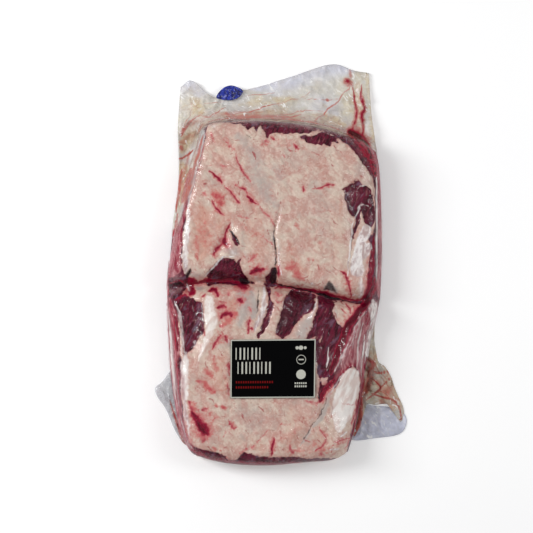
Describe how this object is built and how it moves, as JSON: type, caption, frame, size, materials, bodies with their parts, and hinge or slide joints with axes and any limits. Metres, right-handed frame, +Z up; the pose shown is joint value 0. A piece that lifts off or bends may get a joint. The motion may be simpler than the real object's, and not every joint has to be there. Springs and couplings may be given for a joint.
{
  "type": "vacuum pack of beef short ribs",
  "caption": "Raw beef short-rib slabs sealed end to end in a clear shrink bag with a flat tail, empty corner flaps and a black label; lies flat, label up.",
  "frame": {"origin": "centre of the pack's bounding box, on the plane it lies on", "axes": "+X across the slabs, +Y along them towards the bag's flat tail, +Z up out of the labelled face"},
  "size_m": [0.2844, 0.4541, 0.0555],
  "materials": {
    "film": "clear shrink film, glossy and lightly wrinkled",
    "raw_beef": "wet raw lean meat",
    "beef_fat": "pale pink raw fat, uneven and slightly wet",
    "bone": "raw rib bone",
    "label": "satin black printed label",
    "blue_film": "glossy blue crumpled film"
  },
  "bodies": {
    "root": {"vacuum_bag": "film", "front_label": "label", "blue_seal_patch": "blue_film"}
  },
  "joints": []
}
